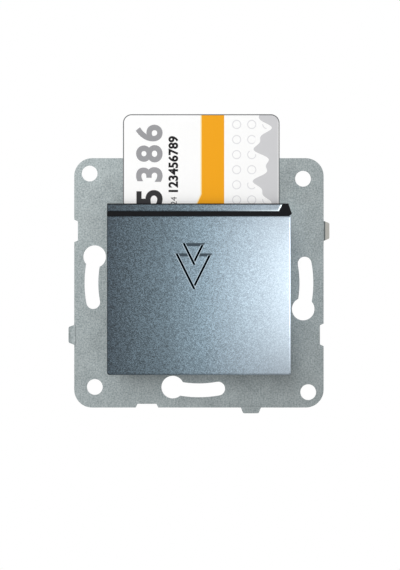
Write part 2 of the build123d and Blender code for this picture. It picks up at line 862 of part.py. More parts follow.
def make_housing_front():
    """The front of the housing: a collar through the plate's window and a flange behind it."""
    collar = RectangleRounded(2 * collar_half_x, 2 * collar_half_z, plate_window_radius)
    hollow = RectangleRounded(2 * hollow_half_x, 2 * hollow_half_z, plate_window_radius)
    front = facing(collar, collar_face_y, flange_thickness)
    front += facing(housing_outline(housing_half_x, housing_half_z, housing_chamfer), 0, flange_thickness)
    front -= facing(hollow, collar_face_y + housing_wall, flange_thickness + overrun)
    wall = seam_lip_wall / 2
    reach = seam_lip_length / 2
    lip_back = flange_thickness + seam_lip_height
    lip_x = inside_half_x - seam_lip_play - wall
    lip_z = inside_half_z - seam_lip_play - wall
    for side in (-1, 1):
        x, z = side * lip_x, side * lip_z
        front += block(x - wall, x + wall, flange_thickness, lip_back, -reach, reach)
        front += block(-reach, reach, flange_thickness, lip_back, z - wall, z + wall)
    for x, z in both_sides(lip_x, rib_height_z):
        front += block(x - wall, x + wall, flange_thickness, board_front_y,
                       z - rib_width / 2, z + rib_width / 2)
    half = finger_diameter / 2 + finger_play
    front -= block(-half, half, collar_face_y - overrun, collar_face_y + housing_wall + overrun,
                   finger_z - half, finger_z + plunger_travel + half)
    front -= rod_y(lamp_diameter / 2 + guide_play, collar_face_y - overrun,
                   collar_face_y + housing_wall + overrun, lamp_x, lamp_z)
    for x, z in both_sides(collar_half_x, hook_height_z):
        half = hook_width / 2 + tray_play
        front -= block(x - hook_nose, x + hook_nose, cover_back_y - hook_nose_depth - tray_play,
                       cover_back_y + tray_play, z - half, z + half)
    for x, z in both_sides(plate_screw_x, plate_screw_z):
        front -= rod_y(plate_screw_diameter / 2, -overrun, plate_screw_grip, x, z)
    for x, z in both_sides(column_x, column_z):
        front -= rod_y(housing_screw_diameter / 2, flange_thickness - housing_screw_grip,
                       flange_thickness + overrun, x, z)
    return front


def terminal_places():
    """The middles of the terminals across the housing."""
    first = -(terminal_count - 1) / 2 * terminal_pitch
    return [first + index * terminal_pitch for index in range(terminal_count)]


def make_housing_rear():
    """The cup of the housing, with columns, board ribs, dividers, wire entries and screw wells."""
    inside_cut = housing_chamfer - housing_wall * (2 - math.sqrt(2))
    rear = facing(housing_outline(housing_half_x, housing_half_z, housing_chamfer),
                  flange_thickness, housing_depth)
    rear -= facing(housing_outline(inside_half_x, inside_half_z, inside_cut),
                   flange_thickness - overrun, rear_inside_y)
    for x, z in both_sides(column_x, column_z):
        rear += rod_y(column_diameter / 2, flange_thickness, housing_depth, x, z)
        rear -= rod_y(housing_screw_diameter / 2 + screw_hole_play, flange_thickness - overrun,
                      housing_depth + overrun, x, z)
        rear -= rod_y(housing_screw_head_diameter / 2 + screw_hole_play,
                      housing_depth - housing_screw_sink, housing_depth + overrun, x, z)
    for x, z in both_sides(inside_half_x, rib_height_z):
        side = 1 if x > 0 else -1
        edges = sorted((x, x - side * rib_reach))
        rear += block(*edges, board_back_y, rear_inside_y, z - rib_width / 2, z + rib_width / 2)
    places = terminal_places()
    for left, right in zip(places, places[1:]):
        middle = (left + right) / 2
        half = divider_thickness / 2
        rear += block(middle - half, middle + half, cage_front_y, rear_inside_y, -inside_half_z, cage_top_z)
    half = wire_hole_width / 2
    for x in places:
        rear -= block(x - half, x + half, wire_hole_y - half, wire_hole_y + half,
                      -housing_half_z - overrun, -inside_half_z + cage_gap / 2)
        rear -= rod_y(terminal_head_diameter / 2 + terminal_head_play, rear_inside_y - cage_gap / 2,
                      housing_depth + overrun, x, cage_middle_z)
    return rear


def make_terminal_cages():
    """Four brass clamps, each with a wire hole across it and a screw hole from the back."""
    cages = []
    for x in terminal_places():
        cage = block(x - cage_width / 2, x + cage_width / 2, cage_front_y, cage_back_y,
                     cage_bottom_z, cage_top_z)
        half = wire_hole_width / 2
        cage -= block(x - half, x + half, wire_hole_y - half, wire_hole_y + half,
                      cage_bottom_z - overrun, cage_top_z + overrun)
        cage -= rod_y(terminal_screw_diameter / 2, wire_hole_y, cage_back_y + overrun, x, cage_middle_z)
        cages.append(cage)
    return Compound(children=cages)


def make_terminal_screws():
    """Four slotted clamp screws, seen in their wells in the back of the housing."""
    screws = []
    for x in terminal_places():
        head_back = cage_back_y + terminal_head_height
        body = rod_y(terminal_head_diameter / 2, cage_back_y, head_back, x, cage_middle_z)
        body += rod_y(terminal_screw_diameter / 2, wire_hole_y + wire_hole_width / 2, cage_back_y,
                      x, cage_middle_z)
        reach = terminal_head_diameter
        half = screw_recess_width / 2
        body -= block(x - reach, x + reach, head_back - screw_recess_depth, head_back + overrun,
                      cage_middle_z - half, cage_middle_z + half)
        screws.append(body)
    return Compound(children=screws)


def make_terminal_contacts():
    """Four brass strips that join the clamps to the circuit board."""
    half = contact_width / 2
    thick = contact_thickness / 2
    return Compound(
        children=[
            block(x - half, x + half, board_front_y - contact_proud, cage_front_y,
                  cage_middle_z - thick, cage_middle_z + thick)
            for x in terminal_places()
        ]
    )


def leg_places():
    """The middles of the microswitch's three legs."""
    middle = switch_left_x + switch_length / 2
    return [middle + index * leg_spacing for index in (-1, 0, 1)]


def make_circuit_board():
    """The board with its corners cut for the columns and holes for contacts and legs."""
    board = block(-board_half_x, board_half_x, board_front_y, board_back_y, -board_half_z, board_half_z)
    room = column_diameter / 2 + board_column_gap
    for x_side, z_side in both_sides(1, 1):
        across = sorted((x_side * (column_x - room), x_side * (board_half_x + overrun)))
        upright = sorted((z_side * (column_z - room), z_side * (board_half_z + overrun)))
        board -= block(*across, board_front_y - overrun, board_back_y + overrun, *upright)
    half = contact_width / 2 + screw_hole_play
    thick = contact_thickness / 2 + screw_hole_play
    for x in terminal_places():
        board -= block(x - half, x + half, board_front_y - overrun, board_back_y + overrun,
                       cage_middle_z - thick, cage_middle_z + thick)
    for x in leg_places():
        board -= rod_y(leg_width, board_front_y - overrun, board_back_y + overrun, x,
                       leg_bottom_z + leg_thickness / 2)
    return board


def make_switch_case():
    """The microswitch body, with two ears for the lever's pin and a hole for the button."""
    right = switch_left_x + switch_length
    case = block(switch_left_x, right, switch_front_y, board_front_y, case_bottom_z, case_top_z)
    step = 2 * pivot_inset
    eye_room = eye_diameter / 2 + pivot_running_gap
    ear_top = pivot_z + eye_diameter / 2
    case -= block(switch_left_x - overrun, switch_left_x + step, switch_front_y + ear_thickness,
                  board_front_y - ear_thickness, pivot_z - eye_room, case_top_z + overrun)
    for front in (switch_front_y, board_front_y - ear_thickness):
        case += block(switch_left_x, switch_left_x + step, front, front + ear_thickness,
                      case_top_z, ear_top)
    case -= rod_y(pivot_pin_diameter / 2, switch_front_y - overrun, board_front_y + overrun, pivot_x, pivot_z)
    hole = button_diameter / 2 + button_play
    case -= rod_z(hole, button_top_z - button_depth - button_play, case_top_z + overrun,
                  switch_left_x + button_inset, switch_middle_y)
    return case


def make_switch_button():
    """The microswitch's round button, pressed in while the card is home."""
    return rod_z(button_diameter / 2, button_top_z - button_depth, button_top_z,
                 switch_left_x + button_inset, switch_middle_y)


def make_switch_lever():
    """The thin steel lever with an eye round the pin."""
    front = switch_middle_y - lever_width / 2
    back = switch_middle_y + lever_width / 2
    right = switch_left_x + switch_length + lever_overhang
    lever = rod_y(eye_diameter / 2, front, back, pivot_x, pivot_z)
    lever += block(pivot_x, right, front, back, lever_top_z - lever_thickness, lever_top_z)
    lever -= rod_y(pivot_pin_diameter / 2 + pivot_running_gap, front - overrun, back + overrun,
                   pivot_x, pivot_z)
    return lever


def make_lever_pin():
    """The pin that the lever turns on, held in the case's ears."""
    return rod_y(pivot_pin_diameter / 2, switch_front_y, board_front_y, pivot_x, pivot_z)


def make_switch_terminals():
    """Three bent legs from the microswitch through the circuit board."""
    legs = []
    for x in leg_places():
        half = leg_width / 2
        front = switch_middle_y - leg_thickness
        leg = block(x - half, x + half, front, switch_middle_y, leg_bottom_z, case_bottom_z)
        leg += block(x - half, x + half, front, board_back_y + contact_proud, leg_bottom_z, leg_top_z)
        legs.append(leg)
    return Compound(children=legs)


def make_locator_led():
    """The small round lamp on the front of the board, its dome towards the light guide."""
    radius = lamp_diameter / 2
    front = board_front_y - lamp_length
    lamp = rod_y(radius, front + radius, board_front_y, lamp_x, lamp_z)
    lamp += rod_y(lamp_flange_diameter / 2, board_front_y - lamp_flange_height, board_front_y, lamp_x, lamp_z)
    return lamp + Pos(lamp_x, front + radius, lamp_z) * Sphere(radius)


def make_light_guide():
    """The clear bar that takes the lamp's light up to the mouth behind the card."""
    half = guide_width / 2
    bar = block(lamp_x - half, lamp_x + half, guide_front_y, guide_front_y + guide_thickness,
                lamp_z - lamp_diameter / 2 - guide_foot, cover_top_z - guide_top_gap)
    stub = rod_y(lamp_diameter / 2, guide_front_y + guide_thickness,
                 board_front_y - lamp_length - guide_lamp_gap, lamp_x, lamp_z)
    return bar + stub


def leads(places, back):
    """Thin wire leads from the board's back face to the parts that stand on it."""
    return [rod_y(lead_diameter / 2, board_back_y, back, x, z) for x, z in places]


def make_relay():
    """The relay's case on its stub leads."""
    top = relay_bottom_z + relay_height
    body = block(relay_left_x, relay_right_x, part_seat_y, part_seat_y + relay_depth, relay_bottom_z, top)
    body = fillet(body.edges().group_by(Axis.Y)[-1], can_rim)
    places = [
        (x, z)
        for x in (relay_left_x + lead_reach, relay_right_x - lead_reach)
        for z in (relay_bottom_z + lead_reach, top - lead_reach)
    ]
    for lead in leads(places, part_seat_y):
        body += lead
    return body


def make_film_capacitor():
    """The box-shaped capacitor that drops the mains voltage."""
    right = film_left_x + film_width
    top = film_bottom_z + film_length
    body = block(film_left_x, right, part_seat_y, part_seat_y + film_depth, film_bottom_z, top)
    body = fillet(body.edges().group_by(Axis.Y)[-1], can_rim)
    middle = (film_left_x + right) / 2
    for lead in leads([(middle, film_bottom_z + lead_reach), (middle, top - lead_reach)], part_seat_y):
        body += lead
    return body


def make_electrolytic_capacitor():
    """The round can with a groove near its board end."""
    radius = can_diameter / 2
    body = rod_y(radius, part_seat_y, part_seat_y + can_length, can_x, can_z)
    body = fillet(body.edges().group_by(Axis.Y)[-1], can_rim)
    groove_y = part_seat_y + can_groove_offset
    ring = rod_y(radius + overrun, groove_y, groove_y + can_rim, can_x, can_z)
    ring -= rod_y(radius - can_rim, groove_y, groove_y + can_rim, can_x, can_z)
    body -= ring
    for lead in leads([(can_x, can_z - lead_reach), (can_x, can_z + lead_reach)], part_seat_y):
        body += lead
    return body


def axial_part(radius, length, x, z):
    """A round part lying along X on its two bent leads."""
    middle_y = part_seat_y + radius
    body = rod_x(radius, x - length / 2, x + length / 2, middle_y, z)
    wire = lead_diameter / 2
    for side in (-1, 1):
        end = x + side * (length / 2 + lead_reach)
        span = sorted((x, end))
        body += rod_x(wire, *span, middle_y, z)
        body += rod_y(wire, board_back_y, middle_y + wire, end - side * wire, z)
    return body


def make_fuse_resistor():
    """The safety resistor that lies on the board."""
    return axial_part(fuse_diameter / 2, fuse_length, fuse_x, fuse_z)


def make_diodes():
    """Small diodes side by side."""
    return Compound(
        children=[
            axial_part(diode_diameter / 2, diode_length, diode_x, diode_z - index * diode_pitch)
            for index in range(diode_count)
        ]
    )


def make_varistor():
    """The disc that guards against surges, standing on two leads."""
    radius = varistor_diameter / 2
    middle_y = part_seat_y + radius
    half = varistor_thickness / 2
    body = rod_x(radius, varistor_x - half, varistor_x + half, middle_y, varistor_z)
    body = fillet(body.edges().filter_by(GeomType.CIRCLE), can_rim)
    for side in (-1, 1):
        body += rod_y(lead_diameter / 2, board_back_y, middle_y, varistor_x, varistor_z + side * lead_reach)
    return body


def make_bridge_rectifier():
    """The small block of four diodes in one case."""
    half = bridge_length / 2
    wide = bridge_width / 2
    body = block(bridge_x - half, bridge_x + half, board_back_y, board_back_y + bridge_depth,
                 bridge_z - wide, bridge_z + wide)
    return fillet(body.edges().group_by(Axis.Y)[-1], can_rim)


def make_microcontroller():
    """The timer chip with its two rows of short legs."""
    half = chip_length / 2
    wide = chip_width / 2
    seat = board_back_y + part_stand_off / 2
    body = block(chip_x - half, chip_x + half, seat, seat + chip_depth, chip_z - wide, chip_z + wide)
    for index in range(chip_leg_count):
        x = chip_x + (index - (chip_leg_count - 1) / 2) * chip_leg_pitch
        for side in (-1, 1):
            span = sorted((chip_z, chip_z + side * (wide + chip_leg_reach)))
            body += block(x - chip_leg_width / 2, x + chip_leg_width / 2, board_back_y,
                          seat + chip_leg_rise, *span)
    return body


def make_chip_resistors():
    """A row of small flat resistors."""
    solids = []
    for index in range(resistor_count):
        x = resistor_x + index * resistor_pitch
        solids.append(
            block(x - resistor_width / 2, x + resistor_width / 2, board_back_y,
                  board_back_y + resistor_depth, resistor_z - resistor_length / 2,
                  resistor_z + resistor_length / 2)
        )
    return Compound(children=solids)


makers = {
    "mounting_plate": make_mounting_plate,
    "plate_screws": make_plate_screws,
    "housing_screws": make_housing_screws,
    "front_cover": make_front_cover,
    "slot_liner": make_slot_liner,
    "slot_lip": make_slot_lip,
    "card_tray": make_card_tray,
    "card_leaf_spring": make_card_leaf_spring,
    "key_card": make_key_card,
    "card_plunger": make_card_plunger,
    "plunger_spring": make_plunger_spring,
    "light_guide": make_light_guide,
    "housing_front": make_housing_front,
    "housing_rear": make_housing_rear,
    "circuit_board": make_circuit_board,
    "locator_led": make_locator_led,
    "switch_case": make_switch_case,
    "switch_lever": make_switch_lever,
    "switch_button": make_switch_button,
    "lever_pin": make_lever_pin,
    "switch_terminals": make_switch_terminals,
    "terminal_cages": make_terminal_cages,
    "terminal_screws": make_terminal_screws,
    "terminal_contacts": make_terminal_contacts,
    "relay": make_relay,
    "film_capacitor": make_film_capacitor,
    "electrolytic_capacitor": make_electrolytic_capacitor,
    "fuse_resistor": make_fuse_resistor,
    "diodes": make_diodes,
    "varistor": make_varistor,
    "bridge_rectifier": make_bridge_rectifier,
    "microcontroller": make_microcontroller,
    "chip_resistors": make_chip_resistors,
}

for name, make in makers.items():
    export_step(make(), f"parts/{name}.step")
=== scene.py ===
import math

import bpy
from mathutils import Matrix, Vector


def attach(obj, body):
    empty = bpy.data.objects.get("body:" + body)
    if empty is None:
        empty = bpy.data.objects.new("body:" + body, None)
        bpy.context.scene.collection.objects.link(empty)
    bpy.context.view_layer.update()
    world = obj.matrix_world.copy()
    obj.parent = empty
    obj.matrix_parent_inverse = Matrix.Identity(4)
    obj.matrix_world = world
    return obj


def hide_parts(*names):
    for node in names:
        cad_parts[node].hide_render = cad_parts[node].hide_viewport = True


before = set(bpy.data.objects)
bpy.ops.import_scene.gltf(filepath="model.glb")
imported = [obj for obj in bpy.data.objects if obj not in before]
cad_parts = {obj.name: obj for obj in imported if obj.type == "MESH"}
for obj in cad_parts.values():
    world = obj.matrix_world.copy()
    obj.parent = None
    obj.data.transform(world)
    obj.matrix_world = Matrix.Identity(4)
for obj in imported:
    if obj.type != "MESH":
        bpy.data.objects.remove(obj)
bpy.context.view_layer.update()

mm = 0.001  # the scene is in metres, sizes below are in millimetres

print("stage: loaded", len(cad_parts), "nodes")


# working helpers

def clearSelection():
    if bpy.context.mode != "OBJECT":
        bpy.ops.object.mode_set(mode="OBJECT")
    bpy.ops.object.select_all(action="DESELECT")


def pick(piece):
    clearSelection()
    piece.select_set(True)
    bpy.context.view_layer.objects.active = piece


def applyModifier(piece, kind, **settings):
    bpy.ops.object.modifier_add(type=kind)
    modifier = piece.modifiers[-1]
    for key, value in settings.items():
        setattr(modifier, key, value)
    bpy.ops.object.modifier_apply(modifier=modifier.name)


def finishPiece(piece, body, material, nodes=()):
    piece.data.materials.clear()
    piece.data.materials.append(material)
    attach(piece, body)
    if nodes:
        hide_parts(*nodes)
    clearSelection()


# angles in degrees
softening = {"weld": 0.002, "flat": 0.5, "segments": 2, "sharp": 32, "smooth": 34, "weight": 100}


def softenedCopy(nodeName, pieceName, edge, look):
    # a copy of the node with its loose triangles joined and its sharp edges eased
    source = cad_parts[nodeName]
    piece = bpy.data.objects.new(pieceName, source.data.copy())
    bpy.context.scene.collection.objects.link(piece)
    pick(piece)
    bpy.ops.mesh.customdata_custom_splitnormals_clear()
    bpy.ops.object.mode_set(mode="EDIT")
    bpy.ops.mesh.select_all(action="SELECT")
    bpy.ops.mesh.remove_doubles(threshold=look["weld"] * mm)
    bpy.ops.mesh.dissolve_limited(angle_limit=math.radians(look["flat"]))
    bpy.ops.mesh.normals_make_consistent(inside=False)
    bpy.ops.object.mode_set(mode="OBJECT")
    applyModifier(piece, "BEVEL", width=edge * mm, segments=look["segments"],
                  limit_method="ANGLE", angle_limit=math.radians(look["sharp"]),
                  use_clamp_overlap=True)
    pick(piece)
    bpy.ops.object.shade_smooth_by_angle(angle=math.radians(look["smooth"]))
    # wide faces keep their flat shading beside the eased edges
    applyModifier(piece, "WEIGHTED_NORMAL", weight=look["weight"], keep_sharp=True)
    return piece


# node helpers

def addNode(tree, kind, inputs=None, **settings):
    node = tree.nodes.new(kind)
    for key, value in settings.items():
        setattr(node, key, value)
    for key, value in (inputs or {}).items():
        if isinstance(value, bpy.types.NodeSocket):
            tree.links.new(value, node.inputs[key])
        else:
            node.inputs[key].default_value = value
    return node


def calc(tree, operation, first, second=0.5, third=0.5):
    return addNode(tree, "ShaderNodeMath", {0: first, 1: second, 2: third},
                   operation=operation).outputs[0]


def product(tree, first, *others):
    for other in others:
        first = calc(tree, "MULTIPLY", first, other)
    return first


def blendValue(tree, share, first, second):
    return addNode(tree, "ShaderNodeMix", {0: share, 2: first, 3: second}).outputs[0]


def blendColour(tree, share, first, second):
    return addNode(tree, "ShaderNodeMix", {0: share, 6: first, 7: second},
                   data_type="RGBA").outputs[2]


def scaleColour(tree, colour, factor):
    return addNode(tree, "ShaderNodeVectorMath", {0: colour, 3: factor},
                   operation="SCALE").outputs[0]


def span(tree, value, low, high, toLow=0.0, toHigh=1.0, ease="SMOOTHSTEP"):
    return addNode(tree, "ShaderNodeMapRange", {0: value, 1: low, 2: high, 3: toLow, 4: toHigh},
                   interpolation_type=ease).outputs[0]


def linear(tree, value, low, high, toLow=0.0, toHigh=1.0):
    return span(tree, value, low, high, toLow, toHigh, ease="LINEAR")


def strip(tree, value, low, high, soft):
    # 1 between low and high, with soft ends
    return product(tree, span(tree, value, low - soft, low + soft),
                   span(tree, value, high - soft, high + soft, 1, 0))


def cells(tree, place, scale, channel):
    # every cell of a Voronoi has its own tone, one channel of its random colour
    texture = addNode(tree, "ShaderNodeTexVoronoi", {"Vector": place, "Scale": scale})
    parts = addNode(tree, "ShaderNodeSeparateColor", {0: texture.outputs["Color"]})
    return parts.outputs[channel]


def noise(tree, place, scale, detail, rough=0.5):
    return addNode(tree, "ShaderNodeTexNoise", {"Vector": place, "Scale": scale, "Detail": detail,
                   "Roughness": rough}).outputs["Fac"]


def distance(tree, first, second):
    return calc(tree, "SQRT", calc(tree, "ADD", calc(tree, "POWER", first, 2.0),
                                   calc(tree, "POWER", second, 2.0)))


def newGroup(name, takes, gives):
    group = bpy.data.node_groups.new(name, "ShaderNodeTree")
    for socketName, kind, value in takes:
        socket = group.interface.new_socket(socketName, in_out="INPUT", socket_type=kind)
        socket.default_value = value
    for socketName, kind in gives:
        group.interface.new_socket(socketName, in_out="OUTPUT", socket_type=kind)
    return group, group.nodes.new("NodeGroupInput"), group.nodes.new("NodeGroupOutput")


def placeIn(tree):
    return addNode(tree, "ShaderNodeTexCoord").outputs["Object"]


def newMaterial(name):
    material = bpy.data.materials.new(name)
    material.use_nodes = True
    return material, material.node_tree, material.node_tree.nodes["Principled BSDF"]


def grey(level):
    return (level, level, level, 1)


def darker(colour, share):
    return tuple(c * share for c in colour[:3]) + (1,)


def paint(red, green, blue):
    # a colour as an eye dropper reads it, 0 to 255, made linear
    values = [c / 255 for c in (red, green, blue)]
    return tuple(v / 12.92 if v <= 0.04045 else ((v + 0.055) / 1.055) ** 2.4
                 for v in values) + (1,)


# shared surface effects

grainLook = {
    "broadDetail": 3.0, "broadRough": 0.55, "broadFrom": 0.3, "broadTo": 0.7,
    "fineDetail": 2.0, "fineRough": 0.6, "fineFrom": 0.25, "fineTo": 0.75,
}
linesLook = {"detail": 2.0, "from": 0.35, "to": 0.65}

# what a finish has where its dictionary doesn't say
plainLook = {
    "broad": 120, "fine": 2500, "fineShare": 0.4, "rough": 0.5, "swing": 0.12, "bump": 0.2,
    "bumpDepth": 0.02, "metal": 0, "shine": 0.5, "coat": 0, "coatRough": 0.1,
}


def buildGrain(look):
    # moulded or rolled surface: broad mottling, fine grain, and a bump height
    group, takes, gives = newGroup(
        "surfaceGrain",
        [("Light", "NodeSocketColor", grey(0.8)), ("Dark", "NodeSocketColor", grey(0.6)),
         ("Broad Scale", "NodeSocketFloat", 120.0), ("Fine Scale", "NodeSocketFloat", 2500.0),
         ("Fine Share", "NodeSocketFloat", 0.4), ("Roughness", "NodeSocketFloat", 0.5),
         ("Swing", "NodeSocketFloat", 0.1)],
        [("Colour", "NodeSocketColor"), ("Roughness", "NodeSocketFloat"),
         ("Height", "NodeSocketFloat")])
    place = placeIn(group)
    taken = takes.outputs
    broad = noise(group, place, taken["Broad Scale"], look["broadDetail"], look["broadRough"])
    fine = noise(group, place, taken["Fine Scale"], look["fineDetail"], look["fineRough"])
    wide = linear(group, broad, look["broadFrom"], look["broadTo"])
    close = linear(group, fine, look["fineFrom"], look["fineTo"])
    both = blendValue(group, taken["Fine Share"], wide, close)
    lean = calc(group, "SUBTRACT", both, 0.5)
    results = {
        "Colour": blendColour(group, both, taken["Dark"], taken["Light"]),
        "Roughness": calc(group, "MULTIPLY_ADD", lean, taken["Swing"], taken["Roughness"]),
        "Height": close,
    }
    for socketName, value in results.items():
        group.links.new(value, gives.inputs[socketName])
    return group


def buildLines(look):
    # long fine lines along one axis, as rolling or wiping leaves them
    group, takes, gives = newGroup(
        "rollingLines",
        [("Across", "NodeSocketFloat", 4000.0), ("Along", "NodeSocketFloat", 60.0)],
        [("Lines", "NodeSocketFloat")])
    across, along = takes.outputs["Across"], takes.outputs["Along"]
    stretch = addNode(group, "ShaderNodeCombineXYZ", {0: across, 1: across, 2: along}).outputs[0]
    scaled = addNode(group, "ShaderNodeVectorMath", {0: placeIn(group), 1: stretch},
                     operation="MULTIPLY").outputs[0]
    lines = linear(group, noise(group, scaled, 1.0, look["detail"]), look["from"], look["to"])
    group.links.new(lines, gives.inputs["Lines"])
    return group


grainGroup = buildGrain(grainLook)
linesGroup = buildLines(linesLook)


def plainFinish(name, look):
    # one finish from its dictionary: colours, grain, roughness, bump and gloss
    look = {**plainLook, **look}
    material, tree, shader = newMaterial(name)
    grain = addNode(tree, "ShaderNodeGroup", node_tree=grainGroup)
    settings = {"Light": "light", "Dark": "dark", "Broad Scale": "broad", "Fine Scale": "fine",
                "Fine Share": "fineShare", "Roughness": "rough", "Swing": "swing"}
    for socketName, key in settings.items():
        grain.inputs[socketName].default_value = look[key]
    tree.links.new(grain.outputs["Colour"], shader.inputs["Base Color"])
    tree.links.new(grain.outputs["Roughness"], shader.inputs["Roughness"])
    bump = addNode(tree, "ShaderNodeBump", {"Height": grain.outputs["Height"],
                   "Strength": look["bump"], "Distance": look["bumpDepth"] * mm})
    tree.links.new(bump.outputs["Normal"], shader.inputs["Normal"])
    shader.inputs["Metallic"].default_value = look["metal"]
    shader.inputs["Specular IOR Level"].default_value = look["shine"]
    shader.inputs["Coat Weight"].default_value = look["coat"]
    shader.inputs["Coat Roughness"].default_value = look["coatRough"]
    return material, tree, shader, grain


finishes = {
    "screwSteel": {"light": grey(0.62), "dark": grey(0.45), "fine": 3500, "rough": 0.36,
                   "metal": 1.0, "bump": 0.15},
    "springSteel": {"light": (0.62, 0.62, 0.6, 1), "dark": grey(0.46), "fine": 5000,
                    "rough": 0.26, "metal": 1.0},
    "blackPlastic": {"light": paint(22, 23, 27), "dark": paint(13, 13, 14), "fine": 3800,
                     "rough": 0.62, "bump": 0.25, "shine": 0.1},
    "trayPlastic": {"light": paint(44, 45, 49), "dark": paint(30, 31, 33), "fine": 3000,
                    "rough": 0.55, "bump": 0.25},
    "whitePlastic": {"light": grey(0.82), "dark": (0.74, 0.73, 0.69, 1), "fine": 2600,
                     "rough": 0.42, "bump": 0.12},
    "housingPlastic": {"light": paint(176, 178, 180), "dark": paint(160, 162, 165), "fine": 2400,
                       "rough": 0.6, "bump": 0.4, "bumpDepth": 0.04},
    "switchBlack": {"light": paint(42, 42, 44), "dark": paint(27, 27, 29), "fine": 3000,
                    "rough": 0.48, "bump": 0.2},
    "chipBlack": {"light": paint(48, 48, 50), "dark": paint(30, 30, 32), "fine": 6000,
                  "rough": 0.62, "bump": 0.3},
    "terminalBrass": {"light": (0.8, 0.6, 0.28, 1), "dark": (0.62, 0.43, 0.17, 1), "fine": 2800,
                      "rough": 0.32, "metal": 1.0, "bump": 0.15},
    "zincSteel": {"light": (0.72, 0.69, 0.58, 1), "dark": (0.56, 0.53, 0.44, 1), "fine": 3200,
                  "rough": 0.34, "metal": 1.0, "bump": 0.15},
    "relayPlastic": {"light": paint(40, 62, 112), "dark": paint(26, 44, 84), "fine": 2600,
                     "rough": 0.34, "coat": 0.25, "bump": 0.1},
    "filmYellow": {"light": paint(216, 172, 52), "dark": paint(190, 145, 36), "fine": 2400,
                   "rough": 0.4, "coat": 0.2},
    "canSleeve": {"light": paint(44, 52, 74), "dark": paint(26, 32, 48), "fine": 1800,
                  "rough": 0.3, "coat": 0.4},
    "resistorGreen": {"light": paint(86, 132, 104), "dark": paint(60, 100, 78), "fine": 2600,
                      "rough": 0.38, "coat": 0.2},
    "varistorBlue": {"light": paint(44, 88, 158), "dark": paint(28, 62, 120), "fine": 1500,
                     "rough": 0.34, "coat": 0.4, "bump": 0.4, "bumpDepth": 0.06},
}
made = {name: plainFinish(name, look)[0] for name, look in finishes.items()}
print("stage: plain finishes", len(made))


# silver flake paint of the cover and the strip above the mouth

silverLook = {
    # the paint's silver tone across the panel, with painted shade from its dark left edge to its
    # bright right edge
    "tones": [(0.0, paint(52, 63, 71)), (0.3, paint(84, 99, 108)), (0.52, paint(113, 131, 142)),
              (0.75, paint(144, 159, 170)), (1.0, paint(165, 177, 187))],
    "leftX": -25.6, "rightX": 25.6,
    # two layers of flakes are mixed and raised to a power, flakeMean is the mean of the result
    "coarseScale": 5200.0, "fineRatio": 1.9, "coarseShare": 0.65, "fineShare": 0.35,
    "flakePower": 1.5, "flakeMean": 0.37, "swingLeft": 2.5, "swingRight": 0.42,
    # painted highlight: the bright side dims above and below fadeMiddle
    "fade": 0.4, "fadeMiddle": -0.5, "fadeHeight": 24.0,
    # painted shade on the strip above the mouth, from lipZ up
    "lipZ": 19.3, "lipSoft": 0.2, "lipShade": 0.82,
    # painted highlight on the strip's slanted end, through slantX at z = 0, and on its lower
    # edge below edgeZ
    "slantX": 12.29, "slantLean": 0.5, "edgeZ": 20.3, "edgeWidth": 0.4, "edgeSoft": 0.1,
    "edge": paint(206, 218, 223), "lowerFrom": 0.6, "lowerShare": 0.7, "edgeFullX": 10,
    "metal": 0.6, "rough": 0.5, "roughSwing": 0.08, "bump": 0.12, "bumpDepth": 0.02,
}
arrowLook = {
    "middleX": -1.42, "face": -12.6, "faceSoft": 0.1, "soft": 0.06,
    "barWidth": 0.85, "inward": 0.16, "stroke": 0.7, "rim": 0.16,
    # the right stroke and its rim start below the top and stop short of the point
    "strokeStart": 0.5, "strokeShort": 0.9, "rimStart": 0.45, "rimShort": 0.3,
    # half is the half width at the top, and the outer edges would meet at height
    "small": {"half": 3.17, "height": 6.4, "end": 6.05, "top": 11.05},
    "large": {"half": 5.17, "height": 10.4, "end": 9.95, "top": 8.2},
    # painted shade in the grooves and on the bar, painted highlight on the lit rims
    "dark": paint(0, 4, 9), "bar": paint(46, 58, 66), "light": paint(160, 175, 184),
}


def engravedTriangle(tree, colour, inkAndShade, plain, x, z, shape, look):
    # painted shade and highlight of the engraving: a plain field, a grey bar of painted shade,
    # then right and left stroke, each of dark painted shade between two rims of painted highlight
    soft, stroke, rim = look["soft"] * mm, look["stroke"] * mm, look["rim"] * mm
    end = shape["end"] * mm
    below = calc(tree, "SUBTRACT", shape["top"] * mm, z)
    half = calc(tree, "MULTIPLY_ADD", below, -shape["half"] / shape["height"], shape["half"] * mm)
    middle = calc(tree, "SUBTRACT", x, look["middleX"] * mm)
    fromLeft = calc(tree, "ADD", middle, half)
    fromRight = calc(tree, "SUBTRACT", half, middle)
    inward = calc(tree, "SUBTRACT", fromRight, look["inward"] * mm)
    inside = product(tree, span(tree, fromLeft, 0, soft), span(tree, fromRight, 0, soft))
    whole = strip(tree, below, 0, end, soft)
    bar = strip(tree, below, 0, look["barWidth"] * mm, soft)
    rimReach = strip(tree, below, look["rimStart"] * mm, end - look["rimShort"] * mm, soft)
    strokeReach = strip(tree, below, look["strokeStart"] * mm,
                        end - look["strokeShort"] * mm, soft)
    marks = [
        (inside, whole, plain),
        (inside, bar, look["bar"]),
        (strip(tree, inward, -rim, stroke + rim, soft), rimReach, look["light"]),
        (strip(tree, inward, 0, stroke, soft), strokeReach, look["dark"]),
        (strip(tree, fromLeft, -rim, stroke + rim, soft), whole, look["light"]),
        (strip(tree, fromLeft, 0, stroke, soft), whole, look["dark"]),
    ]
    for mask, limit, tone in marks:
        share = product(tree, mask, limit)
        colour = blendColour(tree, share, colour, tone)
        inkAndShade = blendValue(tree, share, inkAndShade, 1.0 if tone == look["dark"] else 0.0)
    return colour, inkAndShade


